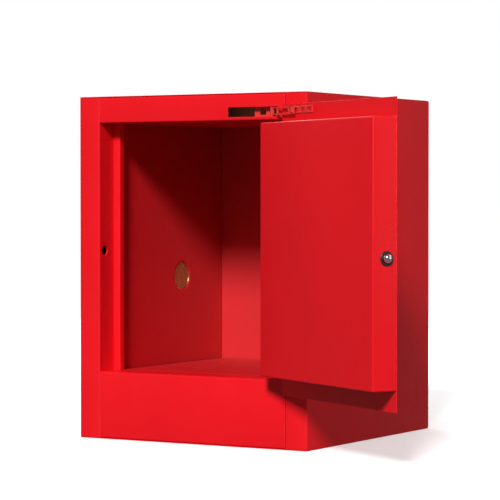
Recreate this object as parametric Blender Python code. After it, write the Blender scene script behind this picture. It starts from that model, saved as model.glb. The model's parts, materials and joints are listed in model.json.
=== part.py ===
"""Countertop flammable storage cabinet: a double-walled sheet-steel body with one self-closing door.

The row frame has +X to the cabinet's right, +Y to its back and +Z up. The origin is the centre of
the footprint on the floor. Every dimension is in metres. The door is modelled closed, in the frame
of its hinge axis, and that frame is then turned to the open position.
"""

import math

import bmesh
import bpy
from mathutils import Matrix, Vector

MM = 0.001

# ---- Driving dimensions ---------------------------------------------------------------------
WIDTH = 432 * MM
DEPTH = 430 * MM
HEIGHT = 565 * MM
SHEET = 1.2 * MM                # 18 gauge steel
GAP = 0.3 * MM                  # clearance between touching pieces
BEND = 1.8 * MM                 # centre-line radius of a sheet-metal bend
BEND_STEPS = 4

STILE = 39.5 * MM               # width of the front stile, and so of the double wall
HEADER = 43.5 * MM              # height of the front panel above the opening
SILL = 111 * MM                 # height of the front panel below the opening
AIR_SPACE_REAR = 38.6 * MM      # between the rear panel and the rear liner
JAMB_DEPTH = 65 * MM            # how far the side panel returns into the opening

STOP_SETBACK = 40.6 * MM        # front face of the door stop, behind the front plane
STOP_WIDTH = 13.2 * MM
STOP_DEPTH = 14.4 * MM
LIP_DEPTH = 58 * MM             # how far header and sill return into the opening
SUMP_DEPTH = 51 * MM            # two-inch leakproof sump under the floor shelf

HINGE_X = 175.1 * MM
HINGE_STANDOFF = 4 * MM         # hinge axis in front of the front plane
OPEN_ANGLE = math.radians(148.2)
KNUCKLE_RADIUS = 3.2 * MM
KNUCKLE_COUNT = 13
HINGE_LOW = 122 * MM
HINGE_HIGH = 512 * MM
HINGE_PIN_RADIUS = 1.3 * MM

# The door, measured from the hinge axis: s across the door, n inwards from the axis plane, z up.
DOOR_NEAR = 3 * MM
DOOR_FAR = 349 * MM
SKIN_OUT = 1.8 * MM
PAN_DEPTH = 42.75 * MM
PAN_LOW = 118.8 * MM
PAN_HIGH = 515.7 * MM
SKIN_LOW = 87.3 * MM
SKIN_HIGH = 544.7 * MM

LATCH_Z = 311 * MM
LATCH_N = 19.5 * MM
BOLT_RADIUS = 7 * MM
BOLT_REACH = 9 * MM             # how far the bolt stands out of the door's free edge
COLLAR_RADIUS = 11 * MM

DISH_S = (223 * MM, 305 * MM)   # handle dish, outside of its tub
DISH_Z = (267 * MM, 355 * MM)
DISH_DEPTH = 26 * MM
HANDLE_S = 292 * MM             # paddle pivot
HANDLE_N = 6.5 * MM
LOCK_S = 264 * MM
LOCK_Z = 284 * MM

SLOT_X = (71.5 * MM, 162.5 * MM)    # closer slot in the header
SLOT_Z = (527 * MM, 542.5 * MM)
CLOSER_X = 150 * MM
CLOSER_Y = -210 * MM
ROLLER_RADIUS = 3.5 * MM
ROLLER_S_OPEN = 46 * MM         # where the roller bears on the open door
ARM_Z = (529 * MM, 541 * MM)

VENT_Y = 40 * MM
VENT_Z = {"left": 262 * MM, "right": 430 * MM}
VENT_RADIUS = 24.5 * MM         # bore of the vent tube
FOOT_X = 196 * MM
FOOT_Y = (-180 * MM, 188 * MM)
FOOT_RADIUS = 12 * MM

# ---- Derived planes -------------------------------------------------------------------------
HALF_W = WIDTH / 2
FRONT = -DEPTH / 2
REAR = DEPTH / 2
OPENING = HALF_W - STILE                # half-width between the stiles
PANEL_LOW = SHEET + GAP                 # side, rear and front panels stand on the base panel
PANEL_HIGH = HEIGHT - SHEET - GAP
OPENING_HIGH = HEIGHT - HEADER
HINGE_Y = FRONT - HINGE_STANDOFF
LINER_REAR = REAR - SHEET - AIR_SPACE_REAR - SHEET
LINER_LOW = SILL - SUMP_DEPTH - SHEET
LINER_HIGH = 535 * MM
LIP_Y = FRONT + LIP_DEPTH
STOP_Y = FRONT + STOP_SETBACK
PAN_OUT = SKIN_OUT + SHEET + GAP        # where the inner pan's walls meet the skin
GUIDE_TOP = PAN_OUT + SHEET             # face of the closer guide that the roller runs on
ROLLER_N = GUIDE_TOP + GAP + ROLLER_RADIUS


# ---- Helpers --------------------------------------------------------------------------------
def clear_scene():
    for item in list(bpy.data.objects):
        bpy.data.objects.remove(item)


def look(name, color, roughness, metallic=0.0):
    """A plain Principled BSDF material."""
    material = bpy.data.materials.new(name)
    material.use_nodes = True
    shader = material.node_tree.nodes["Principled BSDF"]
    shader.inputs["Base Color"].default_value = (*color, 1.0)
    shader.inputs["Roughness"].default_value = roughness
    shader.inputs["Metallic"].default_value = metallic
    return material


def shade(mesh):
    """Smooth shading with sharp edges at the real corners."""
    mesh.shade_smooth()
    mesh.set_sharp_from_angle(angle=math.radians(30))


def add_piece(name, bm, material=None, parent=None, origin=(0, 0, 0)):
    """Turn a bmesh into a linked object whose origin is at the given point."""
    bmesh.ops.recalc_face_normals(bm, faces=bm.faces)
    bmesh.ops.translate(bm, verts=bm.verts, vec=-Vector(origin))
    mesh = bpy.data.meshes.new(name)
    bm.to_mesh(mesh)
    bm.free()
    shade(mesh)
    piece = bpy.data.objects.new(name, mesh)
    bpy.context.scene.collection.objects.link(piece)
    piece.location = origin
    piece.parent = parent
    if material:
        mesh.materials.append(material)
    return piece


def add_axis(name, location, angle=0.0, parent=None):
    """An empty on a joint's axis."""
    axis = bpy.data.objects.new(name, None)
    bpy.context.scene.collection.objects.link(axis)
    axis.location = location
    axis.rotation_euler = (0, 0, angle)
    axis.parent = parent
    axis.empty_display_size = 0.02
    return axis


def combine(piece, tool, operation):
    """Cut a tool from a piece, or join it on, and remove the tool."""
    modifier = piece.modifiers.new(operation.lower(), "BOOLEAN")
    modifier.operation = operation
    modifier.solver = "EXACT"
    modifier.object = tool
    depsgraph = bpy.context.evaluated_depsgraph_get()
    mesh = bpy.data.meshes.new_from_object(piece.evaluated_get(depsgraph))
    piece.modifiers.clear()
    piece.data = mesh
    shade(mesh)
    bpy.data.objects.remove(tool)
    return piece


def cut(piece, tool):
    return combine(piece, tool, "DIFFERENCE")


def join(piece, tool):
    return combine(piece, tool, "UNION")


def block(name, low, high, material=None, parent=None, origin=(0, 0, 0)):
    """A rectangular block between two corners."""
    low, high = Vector(low), Vector(high)
    bm = bmesh.new()
    bmesh.ops.create_cube(bm, size=1.0)
    bmesh.ops.scale(bm, vec=high - low, verts=bm.verts)
    bmesh.ops.translate(bm, vec=(high + low) / 2, verts=bm.verts)
    return add_piece(name, bm, material, parent, origin)


def turned(name, profile, base, direction, material=None, parent=None, origin=(0, 0, 0), steps=24):
    """Revolve a profile of (radius, height) points about a line through base along direction.

    A profile that starts and ends on the axis makes a solid, and any other closes into a ring.
    """
    turn = Vector(direction).to_track_quat("Z", "Y").to_matrix()
    bm = bmesh.new()
    rings = []
    for radius, height in profile:
        count = steps if radius > 0 else 1
        ring = []
        for step in range(count):
            angle = 2 * math.pi * step / steps
            point = Vector((radius * math.cos(angle), radius * math.sin(angle), height))
            ring.append(bm.verts.new(turn @ point + Vector(base)))
        rings.append(ring)
    pairs = list(zip(rings, rings[1:]))
    if profile[0][0] > 0:
        pairs.append((rings[-1], rings[0]))
    for lower, upper in pairs:
        for step in range(steps):
            after = (step + 1) % steps
            corners = [lower[step % len(lower)], lower[after % len(lower)]]
            corners += [upper[after % len(upper)], upper[step % len(upper)]]
            face = list(dict.fromkeys(corners))
            if len(face) > 2:
                bm.faces.new(face)
    return add_piece(name, bm, material, parent, origin)


def rod(name, radius, low, high, direction, material=None, parent=None, origin=(0, 0, 0), steps=24):
    """A plain cylinder from the point low, as long as high is away from it."""
    length = (Vector(high) - Vector(low)).length
    profile = [(0, 0), (radius, 0), (radius, length), (0, length)]
    return turned(name, profile, low, direction, material, parent, origin, steps)


def left_of(direction):
    return Vector((-direction.y, direction.x))


def offset_line(points, distance):
    """An open line moved to its left by a distance, with mitred corners."""
    headings = [(after - before).normalized() for before, after in zip(points, points[1:])]
    moved = []
    for index, point in enumerate(points):
        before = headings[max(index - 1, 0)]
        after = headings[min(index, len(headings) - 1)]
        normal = (left_of(before) + left_of(after)).normalized()
        moved.append(point + normal * distance / normal.dot(left_of(before)))
    return moved


def rounded_line(points, radius):
    """An open line with each of its inner corners turned into an arc."""
    line = [points[0]]
    for before, corner, after in zip(points, points[1:], points[2:]):
        back = (before - corner).normalized()
        ahead = (after - corner).normalized()
        half = back.angle(ahead) / 2
        centre = corner + (back + ahead).normalized() * radius / math.sin(half)
        start = corner + back * radius / math.tan(half) - centre
        end = corner + ahead * radius / math.tan(half) - centre
        sweep = start.angle_signed(end)
        for step in range(BEND_STEPS + 1):
            line.append(centre + Matrix.Rotation(-sweep * step / BEND_STEPS, 2) @ start)
    return line + [points[-1]]


def to_space(axis, u, v, along):
    """A section point and its place along the extrusion axis, as a point in space."""
    return {"X": (along, u, v), "Y": (u, along, v), "Z": (u, v, along)}[axis]


def folded_sheet(name, outline, axis, start, stop, material=None, parent=None, thickness=SHEET):
    """A sheet folded along an outline, its thickness to the outline's left, extruded on an axis.

    The outline's (u, v) are (y, z) for axis X, (x, z) for axis Y and (x, y) for axis Z.
    """
    face = [Vector(point) for point in outline]
    middle = rounded_line(offset_line(face, thickness / 2), BEND)
    sides = offset_line(middle, -thickness / 2), offset_line(middle, thickness / 2)
    bm = bmesh.new()
    ends = []
    for along in (start, stop):
        ends.append([[bm.verts.new(to_space(axis, *point, along)) for point in side] for side in sides])
    (outer, inner), (outer_end, inner_end) = ends
    last = len(middle) - 1
    for i in range(last):
        bm.faces.new((outer[i], outer[i + 1], outer_end[i + 1], outer_end[i]))
        bm.faces.new((inner[i], inner[i + 1], inner_end[i + 1], inner_end[i]))
        bm.faces.new((outer[i], outer[i + 1], inner[i + 1], inner[i]))
        bm.faces.new((outer_end[i], outer_end[i + 1], inner_end[i + 1], inner_end[i]))
    for i in (0, last):
        bm.faces.new((outer[i], inner[i], inner_end[i], outer_end[i]))
    return add_piece(name, bm, material, parent)


def tray(name, low, high, opens, material, parent=None, wall=SHEET):
    """An open pan between two corners, open towards "+z", "-z" or "-y" and one sheet thick."""
    inner_low = Vector(low) + Vector((wall, wall, wall))
    inner_high = Vector(high) - Vector((wall, wall, wall))
    if opens == "+z":
        inner_high.z = high[2] + wall
    elif opens == "-z":
        inner_low.z = low[2] - wall
    else:
        inner_low.y = low[1] - wall
    pan = block(name, low, high, material, parent)
    return cut(pan, block("hollow", inner_low, inner_high, parent=parent))


def mirrored(outline):
    """An outline on the other side of the cabinet, with its thickness still inside."""
    return [(-x, y) for x, y in reversed(outline)]


# ---- Materials ------------------------------------------------------------------------------
def make_looks():
    return {
        "red": look("red_powder_coat", (0.78, 0.012, 0.02), 0.38),
        "inside": look("interior_red_paint", (0.60, 0.010, 0.016), 0.45),
        "steel": look("zinc_plated_steel", (0.62, 0.62, 0.60), 0.32, 1.0),
        "chrome": look("polished_steel", (0.80, 0.80, 0.80), 0.12, 1.0),
        "black": look("black_plastic", (0.02, 0.02, 0.02), 0.5),
        "brass": look("brass", (0.72, 0.50, 0.22), 0.35, 1.0),
        "arm": look("closer_arm_paint", (0.85, 0.09, 0.09), 0.35),
        "rubber": look("foot_rubber", (0.03, 0.03, 0.03), 0.8),
    }


# ---- Cabinet body ---------------------------------------------------------------------------
def outer_shell(looks):
    """Side, rear, top and base panels, and the header and sill between the stiles."""
    rear_flange = 20 * MM
    flange_y = REAR - SHEET - GAP
    left = [
        (-HALF_W + rear_flange, flange_y),
        (-HALF_W, flange_y),
        (-HALF_W, FRONT),
        (-OPENING, FRONT),
        (-OPENING, FRONT + JAMB_DEPTH),
    ]
    outlines = {"left": left, "right": mirrored(left)}
    for side, sign in (("left", -1), ("right", 1)):
        name = f"side_panel_{side}"
        panel = folded_sheet(name, outlines[side], "Z", PANEL_LOW, PANEL_HIGH, looks["red"])
        cut_vent_hole(panel, sign * HALF_W, VENT_Z[side])
        if side == "left":
            cut_strike_hole(panel, -OPENING)
            ground = (-HALF_W, GROUND_Y, GROUND_Z)
            cut(panel, cross_drill(ground, GROUND_HOLE))
    rear_low = (-HALF_W, REAR - SHEET, PANEL_LOW)
    block("rear_panel", rear_low, (HALF_W, REAR, PANEL_HIGH), looks["red"])
    end_panel("top_panel", HEIGHT - SHEET, HEIGHT, -1, looks["red"])
    base = end_panel("base_panel", 0, SHEET, 1, looks["red"])
    for x, y, _ in foot_places():
        cut(base, rod("hole", FOOT_RADIUS + 1 * MM, (x, y, -SHEET), (x, y, 2 * SHEET), (0, 0, 1)))

    span = OPENING - GAP
    turn_in = 25 * MM
    header_outline = [
        (FRONT + turn_in, PANEL_HIGH),
        (FRONT, PANEL_HIGH),
        (FRONT, OPENING_HIGH),
        (LIP_Y, OPENING_HIGH),
        (LIP_Y, OPENING_HIGH + turn_in),
    ]
    header = folded_sheet("header_panel", header_outline, "X", -span, span, looks["red"])
    slot_low = (SLOT_X[0], FRONT - 5 * MM, SLOT_Z[0])
    cut(header, block("slot", slot_low, (SLOT_X[1], FRONT + 5 * MM, SLOT_Z[1])))
    sill_outline = [
        (LIP_Y, SILL - turn_in),
        (LIP_Y, SILL),
        (FRONT, SILL),
        (FRONT, PANEL_LOW),
        (FRONT + turn_in, PANEL_LOW),
    ]
    folded_sheet("sill_panel", sill_outline, "X", -span, span, looks["red"])


def end_panel(name, low, high, inwards, material):
    """The top or base sheet, with a flange that locates it between the side and rear panels."""
    corner = BEND + SHEET / 2
    panel = block(name, (-HALF_W, FRONT, low), (HALF_W, REAR, high), material)
    bm = bmesh.new()
    bm.from_mesh(panel.data)
    upright = [edge for edge in bm.edges if abs(edge.verts[0].co.z - edge.verts[1].co.z) > SHEET / 2]
    bmesh.ops.bevel(bm, geom=upright, offset=corner, segments=BEND_STEPS, profile=0.5, affect="EDGES")
    bm.to_mesh(panel.data)
    bm.free()
    x = HALF_W - SHEET - GAP
    y_front = FRONT + 45 * MM
    y_rear = REAR - 2 * SHEET - 2 * GAP
    outline = [(x, y_front), (x, y_rear), (-x, y_rear), (-x, y_front)]
    root = (low + high) / 2
    tip = root + inwards * 13 * MM
    flange = folded_sheet("flange", outline, "Z", min(root, tip), max(root, tip))
    return join(panel, flange)


def liner(looks):
    """The inner walls and ceiling, an air space away from the outer shell."""
    turn_out = 13.5 * MM
    left = [
        (-OPENING - turn_out, LINER_LOW),
        (-OPENING, LINER_LOW),
        (-OPENING, LINER_HIGH),
        (-OPENING - turn_out, LINER_HIGH),
    ]
    start = FRONT + JAMB_DEPTH + GAP
    stop = LINER_REAR + SHEET
    for side, outline, sign in (("left", left, -1), ("right", mirrored(left), 1)):
        wall = folded_sheet(f"liner_{side}", outline, "Y", start, stop, looks["inside"])
        cut_vent_hole(wall, sign * OPENING, VENT_Z[side])
    rear = [
        (LINER_REAR + turn_out, LINER_HIGH),
        (LINER_REAR, LINER_HIGH),
        (LINER_REAR, LINER_LOW),
        (LINER_REAR + turn_out, LINER_LOW),
    ]
    span = OPENING - GAP
    folded_sheet("liner_rear", rear, "X", -span, span, looks["inside"])
    front = LIP_Y + GAP
    back = LINER_REAR - GAP
    ceiling = OPENING_HIGH + 0.5 * MM
    tray("liner_top", (-span, front, ceiling), (span, back, ceiling + 12 * MM), "+z", looks["inside"])


def floor(looks):
    """The leakproof sump and the floor shelf that lies over it, level with the sill."""
    span = OPENING - GAP
    front = LIP_Y + GAP
    back = LINER_REAR - GAP
    sump_high = SILL - 13 * MM
    tray("sump_pan", (-span, front, LINER_LOW), (span, back, sump_high), "+z", looks["inside"])

    drain_gap = 3.5 * MM
    shelf_x = OPENING - drain_gap
    shelf_low = SILL - 14 * MM
    low = (-shelf_x, LIP_Y + drain_gap, shelf_low + GAP)
    tray("floor_shelf", low, (shelf_x, LINER_REAR - drain_gap, SILL), "-z", looks["inside"])

    ledge_x = span - SHEET - GAP
    left = [(-ledge_x, shelf_low - 17 * MM), (-ledge_x, shelf_low), (-ledge_x + 16 * MM, shelf_low)]
    right = [(-x, z) for x, z in reversed(left)]
    for side, outline in (("left", left[::-1]), ("right", right[::-1])):
        name = f"shelf_ledge_{side}"
        folded_sheet(name, outline, "Y", front + 10 * MM, back - 10 * MM, looks["inside"])


def door_stops(looks):
    """Channels on the jambs that the closed door's inner pan lands in front of."""
    outer = OPENING - GAP
    inner = OPENING - STOP_WIDTH
    left = [
        (-outer, STOP_Y),
        (-inner, STOP_Y),
        (-inner, STOP_Y + STOP_DEPTH),
        (-outer, STOP_Y + STOP_DEPTH),
    ]
    for side, outline in (("left", left), ("right", mirrored(left))):
        name = f"door_stop_{side}"
        folded_sheet(name, outline, "Z", SILL + GAP, OPENING_HIGH - GAP, looks["red"])


# ---- Vents, grounding screw and feet --------------------------------------------------------
VENT_WALL = 1.6 * MM
VENT_FLANGE = 33 * MM
GROUND_Y = 150 * MM
GROUND_Z = 60 * MM
GROUND_HOLE = 3.3 * MM
DRILL_REACH = 8 * MM


def cross_drill(centre, radius, steps=32):
    """A cutter along X that passes through one sheet."""
    x, y, z = centre
    return rod("drill", radius, (x - DRILL_REACH, y, z), (x + DRILL_REACH, y, z), (1, 0, 0), steps=steps)


def cut_vent_hole(sheet, x, z):
    cut(sheet, cross_drill((x, VENT_Y, z), VENT_RADIUS + VENT_WALL + GAP))


def cut_strike_hole(sheet, x):
    cut(sheet, cross_drill((x, HINGE_Y + LATCH_N, LATCH_Z), BOLT_RADIUS + 1.5 * MM))


def vents(looks):
    """Each vent is a flanged tube through the double wall, a flame arrester and a screw cap."""
    through = STILE - GAP
    bore = VENT_RADIUS
    for side, sign in (("left", -1), ("right", 1)):
        out = (sign, 0, 0)
        mouth = (sign * (HALF_W + GAP), VENT_Y, VENT_Z[side])
        tube = [
            (bore, -through),
            (bore + VENT_WALL, -through),
            (bore + VENT_WALL, 0),
            (VENT_FLANGE, 0),
            (VENT_FLANGE, 1.2 * MM),
            (VENT_FLANGE - 1 * MM, 2 * MM),
            (bore, 2 * MM),
        ]
        turned(f"vent_tube_{side}", tube, mouth, out, looks["red"], steps=32)
        disc = [(0, 0), (bore - GAP, 0), (bore - GAP, 5 * MM), (0, 5 * MM)]
        seat = Vector(mouth) - Vector(out) * (through - 2 * MM)
        turned(f"flame_arrester_{side}", disc, seat, out, looks["brass"], steps=32)
        cap = [
            (0, -12 * MM),
            (bore - 2 * GAP, -12 * MM),
            (bore - 2 * GAP, 2 * MM + GAP),
            (28 * MM, 2 * MM + GAP),
            (28 * MM, 5.5 * MM),
            (26.8 * MM, 6.7 * MM),
            (0, 6.7 * MM),
        ]
        plug = turned(f"vent_cap_{side}", cap, mouth, out, looks["red"], steps=32)
        grip_low = Vector(mouth) + Vector((sign * 5 * MM, -20 * MM, -4 * MM))
        grip_high = Vector(mouth) + Vector((sign * 12 * MM, 20 * MM, 4 * MM))
        low = [min(a, b) for a, b in zip(grip_low, grip_high)]
        high = [max(a, b) for a, b in zip(grip_low, grip_high)]
        join(plug, block("grip", low, high))


def grounding_screw(looks):
    """A hexagon screw and washer through the left side panel, for a grounding wire."""
    seat = (-HALF_W - GAP, GROUND_Y, GROUND_Z)
    outwards = (-1, 0, 0)
    shank = GROUND_HOLE - GAP
    washer = [(0, -12 * MM), (shank, -12 * MM), (shank, 0), (9 * MM, 0), (9 * MM, 1.5 * MM), (0, 1.5 * MM)]
    screw = turned("grounding_screw", washer, seat, outwards, looks["brass"])
    head = [(0, 1 * MM), (6.5 * MM, 1 * MM), (6.5 * MM, 6 * MM), (5.6 * MM, 6.8 * MM), (0, 6.8 * MM)]
    join(screw, turned("head", head, seat, outwards, steps=6))


def foot_places():
    """Where the feet are, with a name for each."""
    places = []
    for x, side in ((-FOOT_X, "left"), (FOOT_X, "right")):
        for y, end in zip(FOOT_Y, ("front", "rear")):
            places.append((x, y, f"{end}_{side}"))
    return places


def feet(looks):
    """Levelling feet, screwed up flush into sockets on the base panel."""
    stud = 4 * MM
    pad_high = 8 * MM
    for x, y, place in foot_places():
        on_base = SHEET + GAP
        cup = FOOT_RADIUS + 1 * MM
        socket = [
            (cup + 3.5 * MM, on_base),
            (cup + 3.5 * MM, on_base + SHEET),
            (cup + SHEET, on_base + SHEET),
            (cup + SHEET, 11.5 * MM),
            (7.5 * MM, 11.5 * MM),
            (7.5 * MM, 22 * MM),
            (stud + GAP, 22 * MM),
            (stud + GAP, 10 * MM),
            (cup, 10 * MM),
            (cup, on_base),
        ]
        turned(f"foot_socket_{place}", socket, (x, y, 0), (0, 0, 1), looks["steel"])
        foot = [
            (0, 0),
            (FOOT_RADIUS - 1 * MM, 0),
            (FOOT_RADIUS, 1 * MM),
            (FOOT_RADIUS, pad_high - 2 * MM),
            (FOOT_RADIUS - 2 * MM, pad_high),
            (stud, pad_high),
            (stud, 40 * MM),
            (0, 40 * MM),
        ]
        turned(f"leveling_foot_{place}", foot, (x, y, 0), (0, 0, 1), looks["rubber"], origin=(x, y, 0))


# ---- Hinge ----------------------------------------------------------------------------------
def knuckle_spans(first):
    """Every second knuckle's low and high end, from the first given."""
    pitch = (HINGE_HIGH - HINGE_LOW) / KNUCKLE_COUNT
    spans = []
    for index in range(first, KNUCKLE_COUNT, 2):
        low = HINGE_LOW + index * pitch
        spans.append((low + GAP / 2, low + pitch - GAP / 2))
    return spans


def hinge_leaf(name, plate_x, plate_y, tab_y, spans, axis_point, material, parent=None):
    """A leaf plate, with a knuckle and the tab that carries it for each span."""
    plate_low = (plate_x[0], plate_y[0], HINGE_LOW)
    plate_high = (plate_x[1], plate_y[1], HINGE_HIGH)
    leaf = block(name, plate_low, plate_high, material, parent)
    ax, ay = axis_point
    for low, high in spans:
        join(leaf, block("tab", (plate_x[0], tab_y[0], low), (plate_x[1], tab_y[1], high), parent=parent))
        start, end = (ax, ay, low), (ax, ay, high)
        knuckle = rod("knuckle", KNUCKLE_RADIUS, start, end, (0, 0, 1), parent=parent, steps=16)
        join(leaf, knuckle)
    reach = 5 * MM
    bore_low = (ax, ay, HINGE_LOW - reach)
    bore_high = (ax, ay, HINGE_HIGH + reach)
    bore = rod("bore", HINGE_PIN_RADIUS + GAP, bore_low, bore_high, (0, 0, 1), parent=parent, steps=16)
    return cut(leaf, bore)


def hinge(looks, door_axis):
    """A continuous hinge: one leaf on the right jamb, one on the door pan's edge, and the pin."""
    jamb_x = (OPENING - GAP - SHEET, OPENING - GAP)
    clear = KNUCKLE_RADIUS + GAP
    plate_y = (HINGE_Y + clear, HINGE_Y + 29 * MM)
    tab_y = (HINGE_Y + 2.1 * MM, plate_y[0] + GAP)
    axis_point = (HINGE_X, HINGE_Y)
    hinge_leaf("hinge_leaf_frame", jamb_x, plate_y, tab_y, knuckle_spans(0), axis_point, looks["steel"])

    door_x = (-DOOR_NEAR + GAP, -DOOR_NEAR + GAP + SHEET)
    plate_n = (clear + 0.1 * MM, 29 * MM)
    tab_n = (2.1 * MM, plate_n[0] + GAP)
    spans = knuckle_spans(1)
    hinge_leaf("hinge_leaf_door", door_x, plate_n, tab_n, spans, (0, 0), looks["steel"], door_axis)

    foot = HINGE_LOW - 1 * MM
    length = HINGE_HIGH - foot
    pin = [
        (0, 0),
        (HINGE_PIN_RADIUS, 0),
        (HINGE_PIN_RADIUS, length + GAP),
        (2.6 * MM, length + GAP),
        (2.6 * MM, length + 1.2 * MM),
        (1.6 * MM, length + 2 * MM),
        (0, length + 2 * MM),
    ]
    turned("hinge_pin", pin, (HINGE_X, HINGE_Y, foot), (0, 0, 1), looks["steel"], steps=16)


# ---- Door -----------------------------------------------------------------------------------
def door_shells(looks, axis):
    """The outer skin that laps over header and sill, and the inner pan that closes the opening."""
    skin_low = (-DOOR_FAR, SKIN_OUT, SKIN_LOW)
    skin_high = (-DOOR_NEAR, SKIN_OUT + SHEET, SKIN_HIGH)
    skin = block("door_outer_skin", skin_low, skin_high, looks["red"], axis)
    margin = 1 * MM
    hole_low = (-DISH_S[1] - margin, 0, DISH_Z[0] - margin)
    hole_high = (-DISH_S[0] + margin, 5 * MM, DISH_Z[1] + margin)
    cut(skin, block("dish_hole", hole_low, hole_high, parent=axis))

    pan_low = (-DOOR_FAR, PAN_OUT, PAN_LOW)
    pan_high = (-DOOR_NEAR, PAN_DEPTH, PAN_HIGH)
    pan = tray("door_inner_pan", pan_low, pan_high, "-y", looks["red"], axis)
    drill = rod(
        "drill", COLLAR_NECK + GAP,
        (-DOOR_FAR - 3 * MM, LATCH_N, LATCH_Z), (-DOOR_FAR + 3 * MM, LATCH_N, LATCH_Z),
        (1, 0, 0), parent=axis,
    )
    cut(pan, drill)


# ---- Latch ----------------------------------------------------------------------------------
COLLAR_NECK = 8.4 * MM
CASE_NEAR = 312 * MM            # inner end of the latch case
BOLT_BACK = 331 * MM
ROD_RADIUS = 1.5 * MM
ROD_HEAD = 286 * MM


def latch_turned(name, profile, material, axis, steps=24):
    """Revolve (radius, s) points about the latch's centre line."""
    base = (0, LATCH_N, LATCH_Z)
    return turned(name, profile, base, (-1, 0, 0), material, axis, (-DOOR_FAR, LATCH_N, LATCH_Z), steps)


def latch(looks, axis):
    """A sprung round-nosed bolt in a case, with the rod that the paddle pulls."""
    case = 10.5 * MM
    bore = BOLT_RADIUS + GAP
    case_end = DOOR_FAR - SHEET - GAP
    latch_turned("latch_case", [
        (ROD_RADIUS + GAP, CASE_NEAR), (case, CASE_NEAR), (case, case_end),
        (bore, case_end), (bore, CASE_NEAR + 3 * MM), (ROD_RADIUS + GAP, CASE_NEAR + 3 * MM),
    ], looks["steel"], axis)
    face = DOOR_FAR + GAP
    latch_turned("latch_collar", [
        (bore, face - 1.5 * MM), (COLLAR_NECK, face - 1.5 * MM), (COLLAR_NECK, face),
        (COLLAR_RADIUS, face), (COLLAR_RADIUS, face + 0.6 * MM),
        (COLLAR_RADIUS - 0.8 * MM, face + 1.4 * MM), (bore, face + 1.4 * MM),
    ], looks["black"], axis, steps=32)

    tip = DOOR_FAR + BOLT_REACH
    nose = 6 * MM
    bolt = [(0, BOLT_BACK), (BOLT_RADIUS, BOLT_BACK), (BOLT_RADIUS, tip - nose)]
    nose_steps = 6
    for step in range(1, nose_steps):
        angle = math.pi / 2 * step / nose_steps
        bolt.append((BOLT_RADIUS * math.cos(angle), tip - nose + nose * math.sin(angle)))
    bolt.append((0, tip))
    latch_turned("latch_bolt", bolt, looks["chrome"], axis)

    latch_turned("latch_rod", [
        (0, ROD_HEAD), (4 * MM, ROD_HEAD), (4 * MM, ROD_HEAD + 3 * MM), (ROD_RADIUS, ROD_HEAD + 3 * MM),
        (ROD_RADIUS, BOLT_BACK - GAP), (0, BOLT_BACK - GAP),
    ], looks["steel"], axis, steps=16)

    start = (-CASE_NEAR - 3 * MM - 1 * MM, LATCH_N, LATCH_Z)
    coil("latch_spring", start, (-1, 0, 0), 4.6 * MM, 0.6 * MM, 1.6 * MM, 4, looks["steel"], axis)

    strike_x = -OPENING - SHEET - GAP
    y = HINGE_Y + LATCH_N
    reach = 12 * MM
    strike_low = (strike_x - 1.6 * MM, y - reach, LATCH_Z - 20 * MM)
    strike = block("strike_plate", strike_low, (strike_x, y + reach, LATCH_Z + 20 * MM), looks["red"])
    cut_strike_hole(strike, strike_x)


def coil(name, start, direction, radius, wire, pitch, turns, material, parent=None):
    """A round-wire coil: its centre line winds about a line through start along direction."""
    turn = Vector(direction).to_track_quat("Z", "Y").to_matrix()
    per_turn, around = 16, 6
    bm = bmesh.new()
    rings = []
    for step in range(per_turn * turns + 1):
        angle = 2 * math.pi * step / per_turn
        outwards = Vector((math.cos(angle), math.sin(angle), 0))
        middle = outwards * radius + Vector((0, 0, pitch * step / per_turn))
        ring = []
        for corner in range(around):
            lean = 2 * math.pi * corner / around
            point = middle + outwards * wire * math.cos(lean) + Vector((0, 0, wire * math.sin(lean)))
            ring.append(bm.verts.new(turn @ point + Vector(start)))
        rings.append(ring)
    for before, after in zip(rings, rings[1:]):
        for corner in range(around):
            nxt = (corner + 1) % around
            bm.faces.new((before[corner], before[nxt], after[nxt], after[corner]))
    bm.faces.new(rings[0])
    bm.faces.new(rings[-1])
    return add_piece(name, bm, material, parent)


# ---- Paddle handle and lock -----------------------------------------------------------------
PADDLE_Z = (302 * MM, 350 * MM)
PADDLE_END = 250 * MM           # s of the edge that the fingers pull, clear of the dish's wall
HANDLE_PIN = 1.5 * MM


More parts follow.
